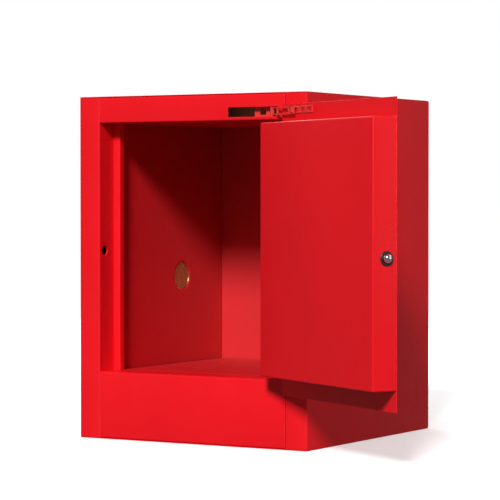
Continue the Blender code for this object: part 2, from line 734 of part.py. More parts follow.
def handle(looks, axis):
    """A flush dish in the door's outer skin, with a paddle that turns on an upright pin."""
    wall = 2 * MM
    bezel_low = (-DISH_S[1] - 9 * MM, -0.7 * MM, DISH_Z[0] - 9 * MM)
    bezel_high = (-DISH_S[0] + 9 * MM, SKIN_OUT - GAP, DISH_Z[1] + 9 * MM)
    dish = block("handle_dish", bezel_low, bezel_high, looks["black"], axis)
    join(dish, block("tub", (-DISH_S[1], 0, DISH_Z[0]), (-DISH_S[0], DISH_DEPTH, DISH_Z[1]), parent=axis))
    inner_low = (-DISH_S[1] + wall, -5 * MM, DISH_Z[0] + wall)
    inner_high = (-DISH_S[0] - wall, DISH_DEPTH - wall, DISH_Z[1] - wall)
    cut(dish, block("hollow", inner_low, inner_high, parent=axis))
    ear_s = (-HANDLE_S - 4 * MM, -HANDLE_S + 4 * MM)
    ear_n = (HANDLE_N - 4 * MM, DISH_DEPTH - wall / 2)
    ears = (
        (PADDLE_Z[0] - 3.5 * MM, PADDLE_Z[0] - 0.5 * MM),
        (PADDLE_Z[1] + 0.5 * MM, DISH_Z[1] - wall / 2),
    )
    for low, high in ears:
        join(dish, block("ear", (ear_s[0], ear_n[0], low), (ear_s[1], ear_n[1], high), parent=axis))
    pin_low = (-HANDLE_S, HANDLE_N, ears[0][0])
    pin_high = (-HANDLE_S, HANDLE_N, DISH_Z[1] - wall)
    hole_low = (*pin_low[:2], pin_low[2] - 2 * MM)
    cut(dish, rod("pin_hole", HANDLE_PIN + GAP, hole_low, pin_high, (0, 0, 1), parent=axis, steps=16))
    rod_hole_low = (-DISH_S[1] - 3 * MM, LATCH_N, LATCH_Z)
    rod_hole_high = (-DISH_S[1] + 4 * MM, LATCH_N, LATCH_Z)
    rod_hole = ROD_RADIUS + 0.7 * MM
    cut(dish, rod("rod_hole", rod_hole, rod_hole_low, rod_hole_high, (1, 0, 0), parent=axis, steps=16))
    lock_low = (-LOCK_S, DISH_DEPTH - 5 * MM, LOCK_Z)
    lock_high = (-LOCK_S, DISH_DEPTH + 3 * MM, LOCK_Z)
    cut(dish, rod("lock_hole", 8 * MM + GAP, lock_low, lock_high, (0, 1, 0), parent=axis))

    pin_top = (*pin_high[:2], pin_high[2] - GAP)
    rod("handle_pin", HANDLE_PIN, pin_low, pin_top, (0, 0, 1), looks["steel"], axis, steps=16)
    paddle(looks, axis)
    lock(looks, axis)


def paddle(looks, axis):
    """The pull plate, its barrel on the pin and the fork that straddles the latch rod."""
    origin = (-HANDLE_S, HANDLE_N, LATCH_Z)
    low, high = PADDLE_Z
    finger_end = -PADDLE_END
    plate = block(
        "paddle_handle", (-HANDLE_S - 4.5 * MM, 2.5 * MM, low), (finger_end, 5.5 * MM, high),
        looks["steel"], axis, origin,
    )
    lip = block("lip", (finger_end - 3 * MM, 4 * MM, low), (finger_end, 10 * MM, high), parent=axis)
    join(plate, lip)
    barrel_low, barrel_high = (*origin[:2], low), (*origin[:2], high)
    join(plate, rod("barrel", 3.8 * MM, barrel_low, barrel_high, (0, 0, 1), parent=axis, steps=20))
    for prong in (LATCH_Z - 5.5 * MM, LATCH_Z + 2.1 * MM):
        prong_low = (-HANDLE_S - 1.5 * MM, HANDLE_N + 2.5 * MM, prong)
        prong_high = (-HANDLE_S + 1.5 * MM, LATCH_N + 2 * MM, prong + 3.4 * MM)
        join(plate, block("prong", prong_low, prong_high, parent=axis))
    bore_low = (*origin[:2], low - 2 * MM)
    bore_high = (*origin[:2], high + 2 * MM)
    cut(plate, rod("bore", HANDLE_PIN + GAP, bore_low, bore_high, (0, 0, 1), parent=axis, steps=16))


def lock(looks, axis):
    """A key cylinder in the dish, with the cam on its back end."""
    base = (-LOCK_S, 0, LOCK_Z)
    origin = base
    inwards = (0, 1, 0)
    front = DISH_DEPTH - 2 * MM - GAP
    cylinder = turned("lock_cylinder", [
        (0, front - 14 * MM), (9 * MM, front - 14 * MM), (10 * MM, front - 13 * MM), (10 * MM, front),
        (8 * MM, front), (8 * MM, DISH_DEPTH + 2 * MM), (0, DISH_DEPTH + 2 * MM),
    ], base, inwards, looks["chrome"], axis, origin)
    key_low = (-LOCK_S - 0.9 * MM, front - 16 * MM, LOCK_Z - 4 * MM)
    key_high = (-LOCK_S + 0.9 * MM, front - 6 * MM, LOCK_Z + 4 * MM)
    cut(cylinder, block("keyway", key_low, key_high, parent=axis))

    cam_n = DISH_DEPTH + 2 * MM + GAP
    cam = rod("lock_cam", 8 * MM, (-LOCK_S, cam_n, LOCK_Z), (-LOCK_S, cam_n + 2 * MM, LOCK_Z), inwards,
              looks["steel"], axis, origin)
    finger_low = (-LOCK_S - 5 * MM, cam_n, LOCK_Z - 26 * MM)
    finger_high = (-LOCK_S + 5 * MM, cam_n + 2 * MM, LOCK_Z - 2 * MM)
    join(cam, block("finger", finger_low, finger_high, parent=axis))


# ---- Door closer ----------------------------------------------------------------------------
def door_point(s, n, angle):
    """A point of the door in plan, with the door turned open by an angle."""
    turn = Matrix.Rotation(angle, 2)
    return Vector((HINGE_X, HINGE_Y)) + turn @ Vector((-s, n))


def closer_geometry():
    """The arm's length and its heading with the door open."""
    reach = door_point(ROLLER_S_OPEN, ROLLER_N, OPEN_ANGLE) - Vector((CLOSER_X, CLOSER_Y))
    return reach.length, math.atan2(reach.y, reach.x)


def closer(looks, door_axis):
    """A swing arm in the header that pushes the door shut, with its bracket, pin and spring."""
    bracket_rear = CLOSER_Y + 8.5 * MM
    lip_top = OPENING_HIGH + SHEET + GAP
    ear_top = 545 * MM
    outline = [
        (FRONT + SHEET + 2 * GAP, lip_top),
        (bracket_rear, lip_top),
        (bracket_rear, ear_top),
        (FRONT + SHEET + 2 * GAP, ear_top),
    ]
    plate = 2 * MM
    ends = (114 * MM, 158 * MM)
    bracket = folded_sheet("closer_bracket", outline, "X", *ends, looks["arm"], thickness=plate)
    for window in ((124 * MM, 135 * MM), (143.5 * MM, 156 * MM)):
        window_low = (window[0], bracket_rear - 5 * MM, SLOT_Z[0] + 3 * MM)
        window_high = (window[1], bracket_rear + 5 * MM, SLOT_Z[1] - 3 * MM)
        cut(bracket, block("window", window_low, window_high))
    pin = 1.7 * MM
    pin_low = (CLOSER_X, CLOSER_Y, lip_top)
    pin_high = (CLOSER_X, CLOSER_Y, 559 * MM)
    bore_low = (CLOSER_X, CLOSER_Y, lip_top - 5 * MM)
    cut(bracket, rod("bore", pin + GAP, bore_low, pin_high, (0, 0, 1), steps=16))
    rod("closer_pin", pin, pin_low, pin_high, (0, 0, 1), looks["steel"], steps=16)
    coil("closer_spring", (CLOSER_X, CLOSER_Y, ear_top + 1.3 * MM), (0, 0, 1),
         2.9 * MM, 0.8 * MM, 2 * MM, 5, looks["steel"])

    link_low = (115 * MM, FRONT + 3 * MM, ear_top + GAP)
    link = block("fusible_link", link_low, (143 * MM, bracket_rear, ear_top + 1.8 * MM), looks["brass"])
    for x in (120 * MM, 138 * MM):
        centre = (x, (link_low[1] + bracket_rear) / 2)
        hole_low, hole_high = (*centre, ear_top - 3 * MM), (*centre, ear_top + 5 * MM)
        cut(link, rod("hole", 1.8 * MM, hole_low, hole_high, (0, 0, 1), steps=12))

    closer_arm(looks, lip_top + plate + GAP, ear_top - plate - GAP, pin)
    guide(looks, door_axis)


def closer_arm(looks, boss_low, boss_high, pin):
    """The arm, built along +X from its pivot, and the roller on an axle in its end."""
    length, heading = closer_geometry()
    axis = add_axis("closer_axis", (CLOSER_X, CLOSER_Y, 0), heading)
    half = 1.25 * MM
    low, high = ARM_Z
    arm = block("closer_arm", (0, -half, low), (length + 5.2 * MM, half, high), looks["arm"], axis)
    join(arm, rod("boss", 3.4 * MM, (0, 0, boss_low), (0, 0, boss_high), (0, 0, 1), parent=axis, steps=20))
    bore_low, bore_high = (0, 0, boss_low - MM), (0, 0, boss_high + MM)
    cut(arm, rod("bore", pin + GAP, bore_low, bore_high, (0, 0, 1), parent=axis, steps=16))
    web = 2 * MM
    windows = (
        (5.5 * MM, 17 * MM),
        (21 * MM, 57 * MM),
        (60 * MM, 65.5 * MM),
        (length - ROLLER_RADIUS - 0.7 * MM, length + ROLLER_RADIUS + 0.7 * MM),
    )
    for near, far in windows:
        cut(arm, block("window", (near, -2 * half, low + web), (far, 2 * half, high - web), parent=axis))
    axle = 0.9 * MM
    axle_low, axle_high = (length, 0, low + web / 2), (length, 0, high - web / 2)
    join(arm, rod("axle", axle, axle_low, axle_high, (0, 0, 1), parent=axis, steps=12))
    roller = [
        (axle + GAP, low + web + GAP),
        (ROLLER_RADIUS, low + web + GAP),
        (ROLLER_RADIUS, high - web - GAP),
        (axle + GAP, high - web - GAP),
    ]
    turned("closer_roller", roller, (length, 0, 0), (0, 0, 1), looks["arm"], axis, (length, 0, 0), 20)


def guide(looks, axis):
    """The slotted strip on the door's skin whose two rails the roller bears on, with end stops."""
    near, far = ROLLER_S_OPEN - 8 * MM, 103 * MM
    low, high = ARM_Z[0] + 0.5 * MM, ARM_Z[1] - 0.5 * MM
    strip = block("closer_guide", (-far, PAN_OUT, low), (-near, GUIDE_TOP, high), looks["arm"], axis)
    for start in (near, far - 2 * MM):
        stop_low = (-start - 2 * MM, PAN_OUT, low)
        join(strip, block("stop", stop_low, (-start, GUIDE_TOP + 1 * MM, high), parent=axis))
    rail = 2.7 * MM
    for start, end in ((41.5 * MM, 55 * MM), (64.5 * MM, 76 * MM), (85 * MM, 99 * MM)):
        window_low = (-end, PAN_OUT - 1 * MM, low + rail)
        cut(strip, block("window", window_low, (-start, GUIDE_TOP + 2 * MM, high - rail), parent=axis))


# ---- Build ----------------------------------------------------------------------------------
def main():
    clear_scene()
    looks = make_looks()
    outer_shell(looks)
    liner(looks)
    floor(looks)
    door_stops(looks)
    vents(looks)
    grounding_screw(looks)
    feet(looks)
    door_axis = add_axis("door_axis", (HINGE_X, HINGE_Y, 0), OPEN_ANGLE)
    hinge(looks, door_axis)
    door_shells(looks, door_axis)
    latch(looks, door_axis)
    handle(looks, door_axis)
    closer(looks, door_axis)


main()
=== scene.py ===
"""Looks for the countertop flammable storage cabinet: finishes, fine pieces, light and camera."""

import json
import math

import bmesh
import bpy
from mathutils import Matrix, Vector


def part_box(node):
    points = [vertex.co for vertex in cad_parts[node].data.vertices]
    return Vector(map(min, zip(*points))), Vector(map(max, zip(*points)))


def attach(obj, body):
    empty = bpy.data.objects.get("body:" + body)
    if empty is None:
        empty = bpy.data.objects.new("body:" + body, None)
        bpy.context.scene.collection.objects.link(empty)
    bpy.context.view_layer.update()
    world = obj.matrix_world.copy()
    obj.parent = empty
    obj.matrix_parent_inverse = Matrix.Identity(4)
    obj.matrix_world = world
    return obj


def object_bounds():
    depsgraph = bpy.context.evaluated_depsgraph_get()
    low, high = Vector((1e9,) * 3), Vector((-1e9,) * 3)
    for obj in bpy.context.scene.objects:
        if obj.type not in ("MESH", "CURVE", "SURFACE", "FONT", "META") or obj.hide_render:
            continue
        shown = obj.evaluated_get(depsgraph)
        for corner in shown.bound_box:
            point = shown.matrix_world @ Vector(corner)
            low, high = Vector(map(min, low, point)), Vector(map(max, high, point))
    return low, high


MM = 0.001

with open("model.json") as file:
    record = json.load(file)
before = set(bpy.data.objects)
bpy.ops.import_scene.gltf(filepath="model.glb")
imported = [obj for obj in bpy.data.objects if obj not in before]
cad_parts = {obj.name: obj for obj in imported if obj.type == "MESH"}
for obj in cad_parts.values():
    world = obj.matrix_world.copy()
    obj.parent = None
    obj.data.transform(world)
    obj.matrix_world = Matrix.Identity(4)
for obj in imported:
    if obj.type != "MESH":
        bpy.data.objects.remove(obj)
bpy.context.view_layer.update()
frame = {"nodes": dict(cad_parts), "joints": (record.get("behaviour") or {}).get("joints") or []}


# ---- Node graphs ----------------------------------------------------------------------------
class Finish:
    """A Principled material with short ways to add nodes and to join them."""

    def __init__(self, name, color, roughness, metallic=0.0, **sockets):
        self.material = bpy.data.materials.new(name)
        self.material.use_nodes = True
        self.tree = self.material.node_tree
        self.shader = self.tree.nodes["Principled BSDF"]
        self.shader.inputs["Base Color"].default_value = (*color, 1.0)
        self.shader.inputs["Roughness"].default_value = roughness
        self.shader.inputs["Metallic"].default_value = metallic
        for socket, value in sockets.items():
            self.shader.inputs[socket.replace("_", " ")].default_value = value
        coordinates = self.add("ShaderNodeTexCoord")
        self.place = coordinates.outputs["Object"]

    def add(self, kind, inputs=None, **settings):
        """A new node; each input is a value or a socket to join."""
        node = self.tree.nodes.new(kind)
        for setting, value in settings.items():
            setattr(node, setting, value)
        for socket, value in (inputs or {}).items():
            if isinstance(value, bpy.types.NodeSocket):
                self.tree.links.new(value, node.inputs[socket])
            else:
                node.inputs[socket].default_value = value
        return node

    def link(self, output, socket):
        """Join an output to one of the shader's own sockets."""
        self.tree.links.new(output, self.shader.inputs[socket])

    def noise(self, scale, detail=2.0, roughness=0.5, place=None):
        """Noise of about 1/scale metres, from 0 to 1."""
        inputs = {"Scale": scale, "Detail": detail, "Roughness": roughness}
        inputs["Vector"] = place or self.place
        return self.add("ShaderNodeTexNoise", inputs).outputs["Fac"]

    def stretched(self, factors):
        """Object coordinates scaled along each axis."""
        inputs = {"Vector": self.place, "Scale": factors}
        return self.add("ShaderNodeMapping", inputs).outputs["Vector"]

    def spread(self, value, low, high, start=0.0, stop=1.0):
        """Map a value's low..high onto start..stop, clamped."""
        inputs = {"Value": value, "From Min": low, "From Max": high}
        inputs.update({"To Min": start, "To Max": stop})
        return self.add("ShaderNodeMapRange", inputs).outputs["Result"]

    def maths(self, operation, first, second):
        """One sum of two numbers, each a value or a socket."""
        return self.add("ShaderNodeMath", {0: first, 1: second}, operation=operation).outputs[0]

    def vector(self, operation, *values):
        """A node that works on one or two vectors, each a triple or a socket."""
        return self.add("ShaderNodeVectorMath", dict(enumerate(values)), operation=operation)

    def blend(self, factor, first, second):
        """Mix two colours, each a linear RGB triple or a socket."""
        node = self.add("ShaderNodeMix", data_type="RGBA")
        color_a, color_b = [socket for socket in node.inputs if socket.type == "RGBA"][:2]
        self.tree.links.new(factor, node.inputs["Factor"])
        for socket, value in ((color_a, first), (color_b, second)):
            if isinstance(value, bpy.types.NodeSocket):
                self.tree.links.new(value, socket)
            else:
                socket.default_value = (*value, 1.0)
        return [socket for socket in node.outputs if socket.type == "RGBA"][0]

    def relief(self, height, depth, strength=1.0, below=None):
        """A bump whose full height is depth metres, over another bump or alone."""
        inputs = {"Height": height, "Distance": depth, "Strength": strength}
        if below:
            inputs["Normal"] = below
        return self.add("ShaderNodeBump", inputs).outputs["Normal"]

    def within(self, centre, half):
        """1 inside a box given in object coordinates, 0 outside it."""
        offset = self.vector("SUBTRACT", self.place, centre).outputs[0]
        distance = self.vector("ABSOLUTE", offset).outputs[0]
        axes = self.add("ShaderNodeSeparateXYZ", {0: distance}).outputs
        inside = [self.maths("LESS_THAN", axis, reach) for axis, reach in zip(axes, half)]
        return self.maths("MULTIPLY", self.maths("MULTIPLY", inside[0], inside[1]), inside[2])

    def distance(self, centre):
        """Metres from a point in object coordinates."""
        return self.vector("DISTANCE", self.place, centre).outputs["Value"]

    def depth(self, start, stop):
        """0 to 1 from one distance back along Y to another."""
        axes = self.add("ShaderNodeSeparateXYZ", {0: self.place}).outputs
        return self.spread(axes[1], start, stop)

    def edges(self, radius):
        """A mask that is 1 on edges and corners about as wide as the radius."""
        rounded = self.add("ShaderNodeBevel", {"Radius": radius}, samples=6).outputs["Normal"]
        true = self.add("ShaderNodeNewGeometry").outputs["Normal"]
        agree = self.vector("DOT_PRODUCT", rounded, true).outputs["Value"]
        return self.spread(self.maths("SUBTRACT", 1.0, agree), 0.02, 0.25)


def toned(color, factor):
    """A colour made lighter or darker."""
    return tuple(min(channel * factor, 1.0) for channel in color)


# ---- Finishes -------------------------------------------------------------------------------
# The space over the doorway, closed in by the outer shell, which the paint gun doesn't reach.
CAVITY_CENTRE = (0.0, 0.0, 0.5440)
CAVITY_HALF = (0.2145, 0.2134, 0.0196)
PRIMER = (0.50, 0.62, 0.34)
# Painted shade: the grey that the interior paint turns towards at the back, where it lies in shade.
BACK_SHADE_GREY = (0.36, 0.30, 0.28)

# Where the bolt slides over the jamb, and where hands push the door's free edge:
# place, radius and strength.
BOLT_SCUFF = ((-0.1765, -0.1995, 0.311), 0.020, 0.30)
HAND_SCUFF = ((0.4640, -0.4150, 0.330), 0.060, 0.10)


def powder_coat(name, color, roughness, wear_and_highlight, dust=0.0, haze=0.0, scuffs=(), bare=False):
    """Baked powder coat: orange peel, slow drifts in tone and gloss, and edges made lighter, partly
    by wear and partly by a painted highlight.

    dust is the strength of fine specks, haze that of a painted shade that greys the paint towards
    the back, and bare leaves the cavity over the doorway in its primer.
    """
    finish = Finish(name, color, roughness, Specular_IOR_Level=0.25)
    drift = finish.spread(finish.noise(5.0, 3.0), 0.3, 0.7)
    paint = finish.blend(drift, toned(color, 0.95), toned(color, 1.04))
    if dust:
        specks = finish.spread(finish.noise(900.0, 3.0), 0.60, 0.74, 0.0, dust)
        paint = finish.blend(specks, paint, toned(color, 1.9))
    # Painted shade: the paint greys towards the back, where the inside lies in shade.
    if haze:
        back_shade = finish.maths("MULTIPLY", finish.depth(-0.12, 0.16), haze)
        paint = finish.blend(back_shade, paint, BACK_SHADE_GREY)
    # Edge band: lighter paint along edges, partly wear and partly a painted highlight where edges
    # catch the light.
    broken = finish.spread(finish.noise(160.0, 4.0), 0.38, 0.62)
    edge_band = finish.maths("MULTIPLY", finish.edges(1.1 * MM), broken)
    paint = finish.blend(finish.maths("MULTIPLY", edge_band, 0.55), paint, wear_and_highlight)
    # Scuffs: wear only, in the same lighter colour.
    for place, radius, strength in scuffs:
        grain = finish.noise(170.0, 4.0, 0.6, finish.stretched((1.0, 0.25, 4.0)))
        streaks = finish.spread(grain, 0.52, 0.66)
        near = finish.spread(finish.distance(place), radius, radius * 0.4)
        rub = finish.maths("MULTIPLY", finish.maths("MULTIPLY", streaks, near), strength)
        paint = finish.blend(rub, paint, wear_and_highlight)
    if bare:
        paint = finish.blend(finish.within(CAVITY_CENTRE, CAVITY_HALF), paint, PRIMER)
    finish.link(paint, "Base Color")
    patches = finish.noise(22.0, 4.0, 0.6)
    gloss = finish.spread(patches, 0.3, 0.7, roughness - 0.05, roughness + 0.07)
    finish.link(finish.maths("SUBTRACT", gloss, finish.maths("MULTIPLY", edge_band, 0.10)), "Roughness")
    swell = finish.relief(finish.noise(7.0, 1.0), 0.5 * MM, 0.25)
    peel = finish.relief(finish.noise(430.0, 2.0), 0.022 * MM, 0.8, swell)
    finish.link(peel, "Normal")
    return finish.material


def zinc_plate(name, color, roughness):
    """Zinc-plated steel: pale spangle, dull patches and fine rolling lines."""
    finish = Finish(name, color, roughness, 1.0)
    cells = finish.add("ShaderNodeTexVoronoi", {"Vector": finish.place, "Scale": 260.0})
    spangle = finish.spread(cells.outputs["Color"], 0.0, 1.0)
    metal = finish.blend(spangle, toned(color, 0.86), toned(color, 1.1))
    dull = finish.spread(finish.noise(60.0, 4.0), 0.42, 0.68)
    metal = finish.blend(finish.maths("MULTIPLY", dull, 0.5), metal, (0.50, 0.49, 0.44))
    finish.link(metal, "Base Color")
    finish.link(finish.spread(dull, 0.0, 1.0, roughness - 0.06, roughness + 0.18), "Roughness")
    lines = finish.noise(90.0, 3.0, 0.6, finish.stretched((12.0, 12.0, 0.8)))
    finish.link(finish.relief(lines, 0.01 * MM, 0.7), "Normal")
    return finish.material


def polished_steel(name, color, roughness):
    """Bright turned steel with faint turning marks and a few fingerprints."""
    finish = Finish(name, color, roughness, 1.0)
    haze = finish.spread(finish.noise(120.0, 3.0), 0.45, 0.7)
    finish.link(finish.blend(haze, color, toned(color, 0.88)), "Base Color")
    finish.link(finish.spread(haze, 0.0, 1.0, roughness, roughness + 0.14), "Roughness")
    marks = finish.noise(900.0, 1.0, 0.5)
    finish.link(finish.relief(marks, 0.003 * MM, 0.6), "Normal")
    return finish.material


def black_plastic(name, color, roughness):
    """Moulded black plastic: a fine grain, and lighter along its edges."""
    finish = Finish(name, color, roughness)
    edge_band = finish.edges(0.8 * MM)
    lighter_edges = finish.maths("MULTIPLY", edge_band, 0.5)
    finish.link(finish.blend(lighter_edges, color, toned(color, 2.6)), "Base Color")
    gloss = finish.spread(finish.noise(70.0, 3.0), 0.35, 0.65, roughness - 0.06, roughness + 0.08)
    finish.link(gloss, "Roughness")
    finish.link(finish.relief(finish.noise(2200.0, 2.0), 0.02 * MM, 0.6), "Normal")
    return finish.material


def brass(name, color, roughness):
    """Brass, browned in patches, bright where it's handled."""
    finish = Finish(name, color, roughness, 1.0)
    tarnish = finish.spread(finish.noise(140.0, 5.0, 0.6), 0.40, 0.66)
    handled = finish.edges(0.6 * MM)
    patina = finish.maths("MULTIPLY", tarnish, finish.maths("SUBTRACT", 1.0, handled))
    finish.link(finish.blend(patina, color, (0.36, 0.22, 0.09)), "Base Color")
    finish.link(finish.spread(patina, 0.0, 1.0, roughness - 0.06, roughness + 0.24), "Roughness")
    finish.link(finish.relief(finish.noise(1500.0, 2.0), 0.006 * MM, 0.6), "Normal")
    return finish.material


def foot_rubber(name, color, roughness):
    """Moulded rubber: matt, with grey dust in its grain."""
    finish = Finish(name, color, roughness)
    dust = finish.spread(finish.noise(250.0, 5.0, 0.65), 0.45, 0.75)
    finish.link(finish.blend(dust, color, (0.11, 0.105, 0.10)), "Base Color")
    finish.link(finish.spread(dust, 0.0, 1.0, roughness - 0.08, roughness + 0.1), "Roughness")
    finish.link(finish.relief(finish.noise(1300.0, 3.0), 0.05 * MM, 0.7), "Normal")
    return finish.material


RED = (0.80, 0.0058, 0.0120)
INSIDE_RED = (0.62, 0.0100, 0.0150)
ARM_RED = (0.66, 0.040, 0.036)
STEEL = (0.62, 0.63, 0.64)
BRIGHT = (0.82, 0.82, 0.83)
BLACK = (0.016, 0.016, 0.018)
BRASS = (0.70, 0.49, 0.22)
RUBBER = (0.026, 0.026, 0.027)

FINISHES = {
    # Each coat's third colour lightens its edges, partly as wear and partly as a painted highlight,
    # and colours its scuffs as wear.
    "red_powder_coat": powder_coat(
        "red_powder_coat_finish", RED, 0.40, (0.86, 0.10, 0.09),
        scuffs=(BOLT_SCUFF, HAND_SCUFF), bare=True),
    "interior_red_paint": powder_coat(
        # haze is a painted shade towards the back; dust is fine specks.
        "interior_red_finish", INSIDE_RED, 0.48, (0.66, 0.08, 0.07), dust=0.10, haze=0.05),
    # The arm's pink edges are mostly a painted highlight.
    "closer_paint": powder_coat("closer_paint_finish", ARM_RED, 0.34, (0.86, 0.25, 0.22)),
    "zinc_plated_steel": zinc_plate("zinc_finish", STEEL, 0.34),
    "polished_steel": polished_steel("polished_finish", BRIGHT, 0.10),
    "black_plastic": black_plastic("black_plastic_finish", BLACK, 0.42),
    "brass": brass("brass_finish", BRASS, 0.30),
    "foot_rubber": foot_rubber("rubber_finish", RUBBER, 0.78),
}


# ---- CAD nodes that keep their shape --------------------------------------------------------
def slots_of_nodes():
    """Which slot each CAD node takes its finish from, as its packed material says."""
    packed = {name: node.data.materials[0].name for name, node in frame["nodes"].items()}
    return {name: material.split(".")[0] for name, material in packed.items()}


SLOT_OF = slots_of_nodes()
REAL_CORNER = math.radians(32)  # an edge that turns more is a corner, not a step of a curve


def geometry_group(name):
    """An empty group of geometry nodes with one geometry in and one out."""
    group = bpy.data.node_groups.new(name, "GeometryNodeTree")
    for way in ("INPUT", "OUTPUT"):
        group.interface.new_socket("Geometry", in_out=way, socket_type="NodeSocketGeometry")
    return group


def smooth_group():
    """Geometry nodes that shade smooth except across real corners."""
    group = geometry_group("smooth_by_angle")
    nodes, links = group.nodes, group.links
    start = nodes.new("NodeGroupInput")
    stop = nodes.new("NodeGroupOutput")
    plain = nodes.new("GeometryNodeRemoveAttribute")
    plain.inputs["Name"].default_value = "custom_normal"
    faces = nodes.new("GeometryNodeSetShadeSmooth")
    edges = nodes.new("GeometryNodeSetShadeSmooth")
    edges.domain = "EDGE"
    angle = nodes.new("GeometryNodeInputMeshEdgeAngle")
    flat = nodes.new("FunctionNodeCompare")
    flat.operation = "LESS_THAN"
    flat.inputs[1].default_value = REAL_CORNER
    links.new(start.outputs[0], plain.inputs["Geometry"])
    links.new(plain.outputs["Geometry"], faces.inputs["Geometry"])
    links.new(faces.outputs["Geometry"], edges.inputs["Geometry"])
    links.new(angle.outputs["Unsigned Angle"], flat.inputs[0])
    links.new(flat.outputs[0], edges.inputs["Shade Smooth"])
    links.new(edges.outputs["Geometry"], stop.inputs[0])
    return group


SMOOTH = smooth_group()

# A tray's folds lie between two broad faces; the outside bends wider than the inside.
BROAD_FACE = 0.001              # square metres
FOLD_OUTSIDE = 2.4 * MM
FOLD_INSIDE = 1.2 * MM
FOLD_ANGLE = math.radians(60)   # an edge that turns less isn't a fold
TRAYS = ("door_inner_pan", "sump_pan", "floor_shelf", "liner_top", "handle_dish")


def fold_group():
    """Geometry nodes that weigh the edges between broad faces, so that a bevel bends only those."""
    group = geometry_group("fold_weights")
    nodes, links = group.nodes, group.links

    def maths(operation, first, second):
        node = nodes.new("ShaderNodeMath")
        node.operation = operation
        for socket, value in zip(node.inputs, (first, second)):
            if isinstance(value, bpy.types.NodeSocket):
                links.new(value, socket)
            else:
                socket.default_value = value
        return node.outputs[0]

    start = nodes.new("NodeGroupInput")
    stop = nodes.new("NodeGroupOutput")
    area = nodes.new("GeometryNodeInputMeshFaceArea")
    faces = nodes.new("GeometryNodeFieldOnDomain")
    faces.domain = "FACE"
    links.new(maths("GREATER_THAN", area.outputs[0], BROAD_FACE), faces.inputs[0])
    both_broad = maths("GREATER_THAN", faces.outputs[0], 0.99)
    signed = nodes.new("GeometryNodeInputMeshEdgeAngle").outputs["Signed Angle"]
    outside = maths("GREATER_THAN", signed, FOLD_ANGLE)
    inside = maths("LESS_THAN", signed, -FOLD_ANGLE)
    bend = maths("ADD", outside, maths("MULTIPLY", inside, FOLD_INSIDE / FOLD_OUTSIDE))
    store = nodes.new("GeometryNodeStoreNamedAttribute")
    store.data_type = "FLOAT"
    store.domain = "EDGE"
    store.inputs["Name"].default_value = "bevel_weight_edge"
    links.new(start.outputs[0], store.inputs["Geometry"])
    links.new(maths("MULTIPLY", both_broad, bend), store.inputs["Value"])
    links.new(store.outputs["Geometry"], stop.inputs[0])
    return group


FOLDS = fold_group()


def bend_folds(node):
    """Round a tray's folds as a press brake leaves them."""
    weigh = node.modifiers.new("weigh", "NODES")
    weigh.node_group = FOLDS
    fold = node.modifiers.new("fold", "BEVEL")
    fold.width = FOLD_OUTSIDE
    fold.segments = 5
    fold.limit_method = "WEIGHT"
    fold.use_clamp_overlap = False


EDGE_RADIUS = 0.3 * MM


def polish_node(name):
    """Give a CAD node its finish, and rounded, smoothly shaded edges by modifiers alone."""
    node = frame["nodes"][name]
    slot = SLOT_OF[name]
    node.data.materials.clear()
    node.data.materials.append(FINISHES[slot])
    weld = node.modifiers.new("weld", "WELD")
    weld.merge_threshold = 0.01 * MM
    flat = node.modifiers.new("planar", "DECIMATE")
    flat.decimate_type = "DISSOLVE"
    flat.angle_limit = math.radians(0.5)
    if name in TRAYS:
        bend_folds(node)
    shade = node.modifiers.new("shade", "NODES")
    shade.node_group = SMOOTH
    bevel = node.modifiers.new("bevel", "BEVEL")
    bevel.width = EDGE_RADIUS
    bevel.segments = 2
    bevel.limit_method = "ANGLE"
    bevel.angle_limit = REAL_CORNER
    bevel.harden_normals = True
    bevel.use_clamp_overlap = True


for node_name in sorted(frame["nodes"]):
    polish_node(node_name)


# ---- Made pieces ----------------------------------------------------------------------------
HINGE = next(joint for joint in frame["joints"] if joint["name"] == "door_hinge")
OPEN = math.radians(-HINGE["range_deg"][0])
DOOR = Matrix.Translation((*HINGE["pos_m"][:2], 0.0)) @ Matrix.Rotation(OPEN, 4, "Z")


def facing(point, normal):
    """The place of a feature that stands on a surface, with its Z along the normal."""
    return Matrix.Translation(point) @ Vector(normal).to_track_quat("Z", "Y").to_matrix().to_4x4()


def circle(radius, count, height=0.0):
    """Points evenly spaced round the Z axis."""
    points = []
    for index in range(count):
        angle = 2 * math.pi * index / count
        points.append(Vector((radius * math.cos(angle), radius * math.sin(angle), height)))
    return points


def turn(bm, profile, place, steps):
    """Revolve (radius, height) points, bottom to top, about the place's Z axis."""
    rings = []
    for radius, height in profile:
        points = circle(radius, steps, height) if radius else [Vector((0, 0, height))]
        rings.append([bm.verts.new(place @ point) for point in points])
    join_rings(bm, rings)


def join_rings(bm, rings, closed=False):
    """Faces between neighbouring rings, each a loop of points or one point."""
    pairs = list(zip(rings, rings[1:]))
    if closed:
        pairs.append((rings[-1], rings[0]))
    for lower, upper in pairs:
        count = max(len(lower), len(upper))
        for step in range(count):
            after = (step + 1) % count
            corners = [lower[step % len(lower)], lower[after % len(lower)]]
            corners += [upper[after % len(upper)], upper[step % len(upper)]]
            bm.faces.new(list(dict.fromkeys(corners)))


def sweep(bm, points, radius, beside, sides, closed=False):
    """A round wire along points, capped unless it closes on itself.

    beside is a direction that no stretch of the wire runs along; it keeps the wire from twisting.
    """
    rings = []
    last = len(points) - 1
    for index, point in enumerate(points):
        if closed:
            ahead, behind = points[(index + 1) % len(points)], points[index - 1]
        else:
            ahead, behind = points[min(index + 1, last)], points[max(index - 1, 0)]
        along = (ahead - behind).normalized()
        across = along.cross(beside).normalized()
        upward = along.cross(across)
        spokes = [across * spot.x + upward * spot.y for spot in circle(1.0, sides)]
        rings.append([bm.verts.new(point + spoke * radius) for spoke in spokes])
    join_rings(bm, rings, closed)
    if not closed:
        bm.faces.new(rings[0])
        bm.faces.new(rings[-1])


